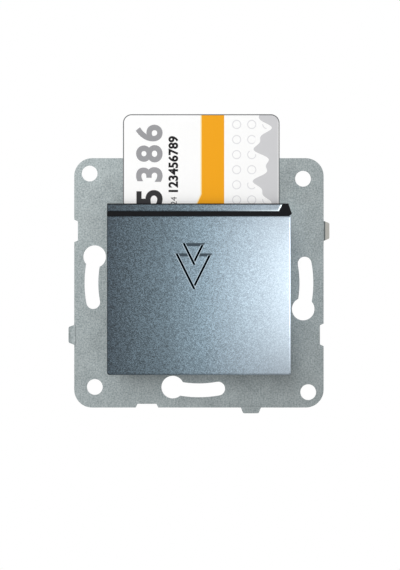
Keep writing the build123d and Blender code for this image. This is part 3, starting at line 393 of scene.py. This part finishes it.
def litEdge(tree, colour, x, z, across, look):
    # painted highlight: at the right the strip's lower edge and slanted end catch the light
    soft = look["edgeSoft"]
    line = calc(tree, "MULTIPLY_ADD", z, look["slantLean"], look["slantX"] * mm)
    slanted = span(tree, calc(tree, "SUBTRACT", x, line),
                   -(look["edgeWidth"] + soft) * mm, -look["edgeWidth"] * mm)
    lower = product(tree, span(tree, z, (look["edgeZ"] - soft) * mm, (look["edgeZ"] + soft) * mm,
                               1, 0),
                    span(tree, across, look["lowerFrom"], 1.0, 0, look["lowerShare"]))
    onStrip = span(tree, z, look["lipZ"] * mm, (look["lipZ"] + look["lipSoft"]) * mm)
    edge = product(tree, calc(tree, "MAXIMUM", slanted, lower), onStrip,
                   span(tree, x, 0, look["edgeFullX"] * mm))
    return blendColour(tree, edge, colour, look["edge"])


def makeSilverPaint(look, arrow):
    material, tree, shader = newMaterial("silverFlakePaint")
    place = placeIn(tree)
    x, y, z = addNode(tree, "ShaderNodeSeparateXYZ", {0: place}).outputs
    across = linear(tree, x, look["leftX"] * mm, look["rightX"] * mm)
    # painted shade: the tone rises from the panel's left edge to its right edge
    shadeRamp = addNode(tree, "ShaderNodeValToRGB", {"Fac": across})
    stops = shadeRamp.color_ramp.elements
    for index, (share, tone) in enumerate(look["tones"]):
        stop = stops[index] if index < 2 else stops.new(share)
        stop.position = share
        stop.color = tone
    coarse = cells(tree, place, look["coarseScale"], 0)
    fine = cells(tree, place, look["coarseScale"] * look["fineRatio"], 1)
    flakes = calc(tree, "ADD", product(tree, coarse, look["coarseShare"]),
                  product(tree, fine, look["fineShare"]))
    flakes = calc(tree, "POWER", flakes, look["flakePower"])
    # the flakes stand out more in the dark part
    swing = linear(tree, across, 0, 1, look["swingLeft"], look["swingRight"])
    factor = calc(tree, "MULTIPLY_ADD", calc(tree, "SUBTRACT", flakes, look["flakeMean"]),
                  swing, 1.0)
    # painted highlight: the bright side fades towards its upper and lower corners
    rise = calc(tree, "MULTIPLY_ADD", z, 1 / (look["fadeHeight"] * mm),
                -look["fadeMiddle"] / look["fadeHeight"])
    paintedHighlightFall = product(tree, rise, rise, across, look["fade"])
    # painted shade: the strip above the mouth is a little darker than the panel
    paintedLipShade = span(tree, z, look["lipZ"] * mm, (look["lipZ"] + look["lipSoft"]) * mm,
                  1, look["lipShade"])
    factor = product(tree, factor, calc(tree, "SUBTRACT", 1.0, paintedHighlightFall), paintedLipShade)
    flaked = scaleColour(tree, shadeRamp.outputs["Color"], factor)
    flaked = litEdge(tree, flaked, x, z, across, look)
    # the engraved arrows get painted shade and painted highlight
    marked, inkAndShade = engravedTriangle(tree, flaked, 0.0, flaked, x, z, arrow["large"], arrow)
    marked, inkAndShade = engravedTriangle(tree, marked, inkAndShade, flaked, x, z, arrow["small"], arrow)
    onFace = span(tree, y, arrow["face"] * mm, (arrow["face"] + arrow["faceSoft"]) * mm, 1, 0)
    tree.links.new(blendColour(tree, onFace, flaked, marked), shader.inputs["Base Color"])
    # where the painted shade is dark the paint is fully metallic, so it keeps no white shine
    metal = linear(tree, product(tree, inkAndShade, onFace), 0, 1, look["metal"], 1.0)
    tree.links.new(metal, shader.inputs["Metallic"])
    rough = linear(tree, flakes, 0, 1, look["rough"] - look["roughSwing"],
                   look["rough"] + look["roughSwing"])
    tree.links.new(rough, shader.inputs["Roughness"])
    bump = addNode(tree, "ShaderNodeBump", {"Height": flakes, "Strength": look["bump"],
                   "Distance": look["bumpDepth"] * mm})
    tree.links.new(bump.outputs["Normal"], shader.inputs["Normal"])
    return material


silverPaint = makeSilverPaint(silverLook, arrowLook)


# galvanised steel of the mounting plate

plateLook = {
    "light": paint(197, 205, 206), "dark": paint(111, 124, 125), "broad": 240, "fine": 2400,
    "fineShare": 0.85, "rough": 0.55, "swing": 0.16, "bump": 0.25, "bumpDepth": 0.02,
    "metal": 0.2,
    # zinc spangle, a faint patchwork some millimetres wide, and rolling lines
    "spangle": 260.0, "patchSwing": 0.04, "linesAcross": 2400.0, "linesAlong": 160.0,
    "lineSwing": 0.03,
    # painted shade: the plate is darker towards the foot and the right
    "low": 0.54, "slopeLean": -1.2, "slopeReach": 105,
    # a faint pressed ring beside the pocket
    "ringX": -27.0, "ringZ": 16.8, "ringRadius": 6.6, "ringInner": 0.05, "ringOuter": 0.35,
    "ringTone": 1.1, "ringHeight": 1.5,
    # painted shade: a dark line at the right tab's root, where it folds, and a fine dark line
    # near the left tab's end; beyond the fold the right tab is a warmer grey from tipFrom to
    # tipTo
    "foldX": 35.05, "foldHalf": 0.2, "foldShare": 0.9, "lineX": -36.0, "lineHalf": 0.12,
    "lineShare": 0.5, "creaseSoft": 0.06, "fold": paint(62, 68, 68),
    "tipFrom": 0.1, "tipTo": 0.3, "tipShare": 0.8, "tipGrey": paint(166, 162, 154),
}


def makePlateSteel(look):
    material, tree, shader, grain = plainFinish("galvanisedSteel", look)
    place = placeIn(tree)
    x, _, z = addNode(tree, "ShaderNodeSeparateXYZ", {0: place}).outputs
    patchTone = linear(tree, cells(tree, place, look["spangle"], 1), 0, 1,
                       1 - look["patchSwing"], 1 + look["patchSwing"])
    lines = addNode(tree, "ShaderNodeGroup", {"Across": look["linesAcross"],
                    "Along": look["linesAlong"]}, node_tree=linesGroup).outputs[0]
    lineTone = linear(tree, lines, 0, 1, 1 - look["lineSwing"], 1 + look["lineSwing"])
    slope = calc(tree, "ADD", z, product(tree, x, look["slopeLean"]))
    paintedShadeTone = linear(tree, slope, -look["slopeReach"] * mm, look["slopeReach"] * mm,
                      look["low"], 1.0)
    far = distance(tree, calc(tree, "SUBTRACT", x, look["ringX"] * mm),
                   calc(tree, "SUBTRACT", z, look["ringZ"] * mm))
    off = calc(tree, "ABSOLUTE", calc(tree, "SUBTRACT", far, look["ringRadius"] * mm))
    ring = span(tree, off, look["ringInner"] * mm, look["ringOuter"] * mm, 1, 0)
    ringTone = linear(tree, ring, 0, 1, 1.0, look["ringTone"])
    tone = product(tree, product(tree, patchTone, lineTone), product(tree, paintedShadeTone, ringTone))
    colour = scaleColour(tree, grain.outputs["Colour"], tone)
    tip = span(tree, x, (look["foldX"] + look["tipFrom"]) * mm,
               (look["foldX"] + look["tipTo"]) * mm)
    colour = blendColour(tree, product(tree, tip, look["tipShare"]), colour, look["tipGrey"])
    # painted shade along the tabs' creases
    paintedCreaseShade = [
        product(tree, strip(tree, x, (look[name + "X"] - look[name + "Half"]) * mm,
                            (look[name + "X"] + look[name + "Half"]) * mm,
                            look["creaseSoft"] * mm), look[name + "Share"])
        for name in ("fold", "line")
    ]
    colour = blendColour(tree, calc(tree, "ADD", *paintedCreaseShade), colour, look["fold"])
    tree.links.new(colour, shader.inputs["Base Color"])
    height = calc(tree, "ADD", grain.outputs["Height"], product(tree, ring, look["ringHeight"]))
    bump = next(node for node in tree.nodes if node.type == "BUMP")
    tree.links.new(height, bump.inputs["Height"])
    return material


plateSteel = makePlateSteel(plateLook)


# printed key card

cardLook = {
    "light": paint(255, 255, 255), "dark": paint(253, 253, 252), "fine": 1200, "rough": 0.3,
    "swing": 0.06, "bump": 0.05, "shine": 0.2,
    "middleX": 0.65, "middleZ": 12.475, "halfWidth": 21.8, "halfHeight": 34.475, "corner": 2.4,
    "front": -10.7, "soft": 0.06, "outline": paint(96, 98, 100), "outlineWidth": 0.28,
    "stripe": paint(243, 166, 6), "stripeLeft": 0.75, "stripeRight": 7.03,
    "footTop": 24.7, "footLean": 0.44,
    "glow": paint(252, 232, 170), "glowFrom": -0.5, "glowTo": -0.1,
    # the wave's edge is two sines of z, with their turn per metre and their height
    "wave": paint(207, 207, 209), "waveX": 17.6, "waveRight": 22.0,
    "swells": [(620.0, 1.9), (1490.0, 0.8)],
    # ring radius and line in shares of the pitch
    "dots": paint(226, 226, 228), "ringPitch": 4.2, "ringRadius": 0.27, "ringInner": 0.02,
    "ringOuter": 0.045, "ringsFrom": (8.6, 8.8), "ringsTo": (-1.6, -1.2),
}


def outsideCard(tree, x, z, look):
    # how far a point lies outside the card's rounded border, negative inside it
    sides = [
        calc(tree, "SUBTRACT",
             calc(tree, "ABSOLUTE", calc(tree, "SUBTRACT", value, look[middle] * mm)),
             (look[half] - look["corner"]) * mm)
        for value, middle, half in ((x, "middleX", "halfWidth"), (z, "middleZ", "halfHeight"))
    ]
    corner = distance(tree, *(calc(tree, "MAXIMUM", side, 0.0) for side in sides))
    inner = calc(tree, "MINIMUM", calc(tree, "MAXIMUM", *sides), 0.0)
    return calc(tree, "SUBTRACT", calc(tree, "ADD", corner, inner), look["corner"] * mm)


def makeCardPrint(look):
    material, tree, shader, grain = plainFinish("printedCard", look)
    x, y, z = addNode(tree, "ShaderNodeSeparateXYZ", {0: placeIn(tree)}).outputs
    soft = look["soft"] * mm

    def leftOf(value, limit):
        return span(tree, value, limit - soft, limit + soft, 1, 0)

    # orange stripe whose foot widens to the left
    below = calc(tree, "MAXIMUM", calc(tree, "SUBTRACT", look["footTop"] * mm, z), 0.0)
    leftEdge = calc(tree, "SUBTRACT", look["stripeLeft"] * mm,
                    product(tree, below, look["footLean"]))
    fromLeft = calc(tree, "SUBTRACT", x, leftEdge)
    rightSide = leftOf(x, look["stripeRight"] * mm)
    stripe = product(tree, span(tree, fromLeft, -soft, soft), rightSide)
    glow = product(tree, span(tree, fromLeft, look["glowFrom"] * mm, look["glowTo"] * mm),
                   rightSide)
    # grey waves down the right side, and small rings beside them
    swells = [product(tree, calc(tree, "SINE", product(tree, z, turn)), height * mm)
              for turn, height in look["swells"]]
    waveLine = calc(tree, "SUBTRACT", calc(tree, "SUBTRACT", x, look["waveX"] * mm),
                    calc(tree, "ADD", *swells))
    wave = product(tree, span(tree, waveLine, -soft, soft), leftOf(x, look["waveRight"] * mm))
    cellPlace = [
        calc(tree, "SUBTRACT",
             calc(tree, "FRACT", calc(tree, "DIVIDE", value, look["ringPitch"] * mm)), 0.5)
        for value in (x, z)
    ]
    reach = distance(tree, *(calc(tree, "ABSOLUTE", value) for value in cellPlace))
    offRing = calc(tree, "ABSOLUTE", calc(tree, "SUBTRACT", reach, look["ringRadius"]))
    field = product(tree, span(tree, x, *(edge * mm for edge in look["ringsFrom"])),
                    span(tree, waveLine, *(edge * mm for edge in look["ringsTo"]), 1, 0))
    rings = product(tree, span(tree, offRing, look["ringInner"], look["ringOuter"], 1, 0), field)
    # thin dark line round the card's border
    outside = outsideCard(tree, x, z, look)
    outline = span(tree, outside, -look["outlineWidth"] * mm - soft,
                   -look["outlineWidth"] * mm + soft)
    onFront = leftOf(y, look["front"] * mm)
    colour = grain.outputs["Colour"]
    for mask, name in ((glow, "glow"), (stripe, "stripe"), (wave, "wave"), (rings, "dots")):
        colour = blendColour(tree, product(tree, mask, onFront), colour, look[name])
    colour = blendColour(tree, outline, colour, look["outline"])
    tree.links.new(colour, shader.inputs["Base Color"])
    return material


cardPrint = makeCardPrint(cardLook)

cardDigits = {
    "large": {"words": "386", "size": 9.7, "x": -10.5, "z": 27.8, "thick": 0.03, "wide": 1.18,
              "inkAndShade": paint(162, 162, 165)},
    "first": {"words": "5", "size": 9.7, "x": -10.5, "z": 21.3, "thick": 0.03, "wide": 1.0,
              "inkAndShade": paint(52, 52, 54)},
    "small": {"words": "123456789", "size": 3.5, "x": -5.95, "z": 24.7, "thick": 0.036,
              "wide": 1.03, "inkAndShade": paint(22, 22, 24)},
    "thin": {"words": "24", "size": 2.4, "x": -6.2, "z": 21.6, "thick": 0.0, "wide": 1.0,
             "inkAndShade": paint(80, 80, 82)},
}
cardFace = {"y": -10.8, "proud": 0.03, "turn": (math.radians(90), math.radians(-90), 0)}
digitInk = {"fine": 2200, "rough": 0.34, "bump": 0.05, "shine": 0.1}


def inkMaterial(name, inkAndShade):
    return plainFinish(name, {"light": inkAndShade, "dark": darker(inkAndShade, 0.9), **digitInk})[0]


def makeDigits(name, part, place, proud, turn, body, inkAndShade):
    # plain digits, made a mesh and then turned and set on the face
    clearSelection()
    bpy.ops.object.text_add(location=(0, 0, 0))
    text = bpy.context.view_layer.objects.active.data
    text.body = part["words"]
    text.size = part["size"] * mm
    text.offset = part["thick"] * part["size"] * mm
    text.extrude = proud * mm / 2
    text.space_character = part["wide"]
    text.resolution_u = 6
    bpy.ops.object.convert(target="MESH")
    piece = bpy.context.view_layer.objects.active
    piece.name = name
    piece.rotation_euler = turn
    piece.location = Vector(place) * mm
    pick(piece)
    bpy.ops.object.transform_apply(location=True, rotation=True, scale=True)
    finishPiece(piece, body, inkAndShade)


# pieces that stand for the nodes that show

pieceLooks = [
    # node, piece, body, slot, finish, eased edge
    ("mounting_plate", "mountingPlate", "root", "plate_steel", plateSteel, 0.14),
    ("front_cover", "frontCover", "root", "silver_paint", silverPaint, 0.06),
    ("slot_lip", "slotLip", "root", "silver_paint", silverPaint, 0.15),
    ("slot_liner", "slotLiner", "root", "black_plastic", made["blackPlastic"], 0.05),
    ("key_card", "keyCard", "key_card", "card_plastic", cardPrint, 0.08),
    ("card_tray", "cardTray", "root", "black_plastic", made["trayPlastic"], 0.12),
    ("card_plunger", "cardPlunger", "card_plunger", "white_plastic", made["whitePlastic"], 0.12),
    ("housing_front", "housingFront", "root", "housing_plastic", made["housingPlastic"], 0.2),
    ("housing_rear", "housingRear", "root", "housing_plastic", made["housingPlastic"], 0.2),
    ("relay", "relayCase", "root", "relay_plastic", made["relayPlastic"], 0.12),
    ("terminal_cages", "terminalCages", "root", "terminal_brass", made["terminalBrass"], 0.12),
    ("terminal_screws", "terminalScrews", "root", "zinc_steel", made["zincSteel"], 0.12),
    ("housing_screws", "housingScrews", "root", "fastener_steel", made["screwSteel"], 0.12),
    ("plate_screws", "plateScrews", "root", "fastener_steel", made["screwSteel"], 0.12),
    ("switch_case", "switchCase", "root", "component_black", made["switchBlack"], 0.12),
]
for nodeName, pieceName, body, slotName, material, edge in pieceLooks:
    piece = softenedCopy(nodeName, pieceName, edge, softening)
    finishPiece(piece, body, material, [nodeName])
print("stage: softened pieces", len(pieceLooks))

for name, part in cardDigits.items():
    place = (part["x"], cardFace["y"] - cardFace["proud"] / 2, part["z"])
    makeDigits(name + "Digits", part, place, cardFace["proud"], cardFace["turn"], "key_card",
               inkMaterial(name + "DigitInk", part["inkAndShade"]))
print("stage: card digits")


# circuit board, lamp and light guide keep their solids and get finishes of their own

boardLook = {
    "light": paint(28, 96, 52), "dark": paint(20, 74, 40), "broad": 60, "fine": 1800,
    "rough": 0.35, "coat": 0.3, "bump": 0.1,
    "track": paint(52, 124, 70), "trackScale": 60.0, "trackWidth": 0.035,
}
clearLook = {
    "light": (0.93, 0.96, 0.97, 1), "dark": darker((0.93, 0.96, 0.97), 0.97), "fine": 700,
    "rough": 0.08, "swing": 0.04, "bump": 0.05, "clear": 0.85, "index": 1.49,
}
lampLook = {"light": paint(120, 205, 130), "dark": paint(90, 180, 105), "fine": 900,
            "rough": 0.16, "coat": 0.5}


def makeBoardFinish(look):
    material, tree, shader, grain = plainFinish("boardLaminate", look)
    flat = addNode(tree, "ShaderNodeMapping", {"Vector": placeIn(tree),
                   "Rotation": (math.radians(90), 0, 0)})
    bricks = addNode(tree, "ShaderNodeTexBrick", {
        "Vector": flat.outputs[0], "Scale": look["trackScale"], "Mortar Size": look["trackWidth"],
        "Color1": grey(0), "Color2": grey(0), "Mortar": grey(1)})
    tracks = addNode(tree, "ShaderNodeSeparateColor", {0: bricks.outputs["Color"]}).outputs[0]
    colour = blendColour(tree, tracks, grain.outputs["Colour"], look["track"])
    tree.links.new(colour, shader.inputs["Base Color"])
    return material


def makeClearPlastic(look):
    material, _, shader, _ = plainFinish("clearPlastic", look)
    shader.inputs["Transmission Weight"].default_value = look["clear"]
    shader.inputs["IOR"].default_value = look["index"]
    return material


nodeFinishes = {
    "card_leaf_spring": made["springSteel"], "plunger_spring": made["springSteel"],
    "switch_lever": made["springSteel"], "lever_pin": made["springSteel"],
    "switch_button": made["whitePlastic"], "light_guide": makeClearPlastic(clearLook),
    "circuit_board": makeBoardFinish(boardLook),
    "locator_led": plainFinish("lampPlastic", lampLook)[0],
    "bridge_rectifier": made["switchBlack"], "microcontroller": made["chipBlack"],
    "diodes": made["chipBlack"], "chip_resistors": made["chipBlack"],
    "switch_terminals": made["terminalBrass"], "terminal_contacts": made["terminalBrass"],
    "film_capacitor": made["filmYellow"], "electrolytic_capacitor": made["canSleeve"],
    "fuse_resistor": made["resistorGreen"], "varistor": made["varistorBlue"],
}
for nodeName, material in nodeFinishes.items():
    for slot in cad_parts[nodeName].material_slots:
        slot.material = material
print("stage: node finishes", len(nodeFinishes))


# terminal numbers on the foot of the housing, beside the wire entries

terminalNumbers = {
    "count": 4, "size": 2.6, "thick": 0.01, "wide": 1.0, "y": 14.4, "face": -23.0, "proud": 0.12,
    "pitch": 8.4, "aside": 0.8, "turn": (math.radians(180), 0, 0),
}
for index in range(terminalNumbers["count"]):
    number = str(index + 1)
    middle = (index - (terminalNumbers["count"] - 1) / 2) * terminalNumbers["pitch"]
    place = (middle - terminalNumbers["aside"], terminalNumbers["y"],
             terminalNumbers["face"] - terminalNumbers["proud"] / 2)
    makeDigits("terminalNumber" + number, {**terminalNumbers, "words": number}, place,
               terminalNumbers["proud"], terminalNumbers["turn"], "root",
               made["housingPlastic"])
print("stage: terminal numbers")


# floor, light and camera

floorLook = {
    "light": grey(0.95), "dark": grey(0.9), "broad": 8, "fine": 400, "rough": 0.85, "bump": 0.05,
    "size": 3.0, "z": -0.125, "solid": 0.2, "gone": 1.0,
}
lightLook = {
    "worldDiffuse": 0.4,
    "lights": {
        "keyLight": {"place": (-0.22, -0.56, 0.24), "aim": (0, 0, 0), "size": 0.4, "power": 2.3},
        "plateLight": {"place": (0, -0.60, 0.05), "aim": (0, 0, 0), "size": 0.3, "power": 0.3},
        "paintLight": {"place": (0.060, -0.050, 0.004), "aim": (0.018, -0.013, 0.002),
                       "size": 0.03, "power": 0.045},
        "backLight": {"place": (0.3, 0.5, 0.3), "aim": (0, 0.01, 0), "size": 0.35, "power": 1.6},
    },
    # the lamp beside the panel only lights the painted pieces, and another one only the plate
    "onlyOn": {"paintLight": ("frontCover", "slotLip"), "plateLight": ("mountingPlate",)},
    # the photo has no shadows of the front, so under the key light these pieces cast none
    "castNoShadow": ("frontCover", "slotLip", "slotLiner", "keyCard"),
}
cameraLook = {"distance": 4.5, "middleX": 0.0003, "middleZ": -0.0006, "frameHeight": 0.1591,
              "sensor": 36, "near": 0.05, "far": 50}


def makeFloor(look):
    clearSelection()
    bpy.ops.mesh.primitive_plane_add(size=look["size"], location=(0, 0, look["z"]))
    floor = bpy.context.view_layer.objects.active
    floor.name = "studioFloor"
    material, tree, shader, _ = plainFinish("floorPaper", look)
    # the paper fades out into the background, and is clear from below
    away = addNode(tree, "ShaderNodeVectorMath", {0: placeIn(tree)},
                   operation="LENGTH").outputs["Value"]
    under = addNode(tree, "ShaderNodeNewGeometry").outputs["Backfacing"]
    alpha = product(tree, span(tree, away, look["solid"], look["gone"], 1, 0),
                    calc(tree, "SUBTRACT", 1.0, under))
    tree.links.new(alpha, shader.inputs["Alpha"])
    floor.data.materials.append(material)


def makeWorld(look):
    # rays that see the background get plain white, and diffuse light is dimmer
    world = bpy.data.worlds.new("studioWorld")
    bpy.context.scene.world = world
    world.use_nodes = True
    tree = world.node_tree
    background = tree.nodes["Background"]
    background.inputs["Color"].default_value = grey(1)
    rays = addNode(tree, "ShaderNodeLightPath").outputs
    seen = calc(tree, "MAXIMUM", rays["Is Camera Ray"], rays["Is Glossy Ray"])
    seen = calc(tree, "MAXIMUM", seen, rays["Is Transmission Ray"])
    tree.links.new(linear(tree, seen, 0, 1, look["worldDiffuse"], 1),
                   background.inputs["Strength"])


def linkedCollection(name, pieceNames):
    collection = bpy.data.collections.new(name)
    for pieceName in pieceNames:
        collection.objects.link(bpy.data.objects[pieceName])
    return collection


def makeLights(look):
    shadowless = linkedCollection("castNoShadow", look["castNoShadow"])
    for link in shadowless.collection_objects:
        link.light_linking.link_state = "EXCLUDE"
    for name, part in look["lights"].items():
        lamp = bpy.data.lights.new(name, "AREA")
        lamp.size = part["size"]
        lamp.energy = part["power"]
        holder = bpy.data.objects.new(name, lamp)
        holder.location = part["place"]
        aim = Vector(part["aim"]) - Vector(part["place"])
        holder.rotation_euler = aim.to_track_quat("-Z", "Y").to_euler()
        holder.visible_camera = False
        if name in look["onlyOn"]:
            only = linkedCollection(name + "Only", look["onlyOn"][name])
            holder.light_linking.receiver_collection = only
            holder.light_linking.blocker_collection = only
        if name == "keyLight":
            holder.light_linking.blocker_collection = shadowless
        bpy.context.scene.collection.objects.link(holder)


def makeCamera(look):
    lens = bpy.data.cameras.new("photoCamera")
    lens.sensor_width = look["sensor"]
    lens.lens = look["sensor"] * look["distance"] / look["frameHeight"]
    lens.clip_start = look["near"]
    lens.clip_end = look["far"]
    camera = bpy.data.objects.new("photoCamera", lens)
    camera.location = (look["middleX"], -look["distance"], look["middleZ"])
    camera.rotation_euler = (math.radians(90), 0, 0)
    bpy.context.scene.collection.objects.link(camera)
    bpy.context.scene.camera = camera


makeFloor(floorLook)
makeWorld(lightLook)
makeLights(lightLook)
makeCamera(cameraLook)
bpy.context.scene.view_settings.view_transform = "Standard"
print("stage: floor, lights and camera")

clearSelection()
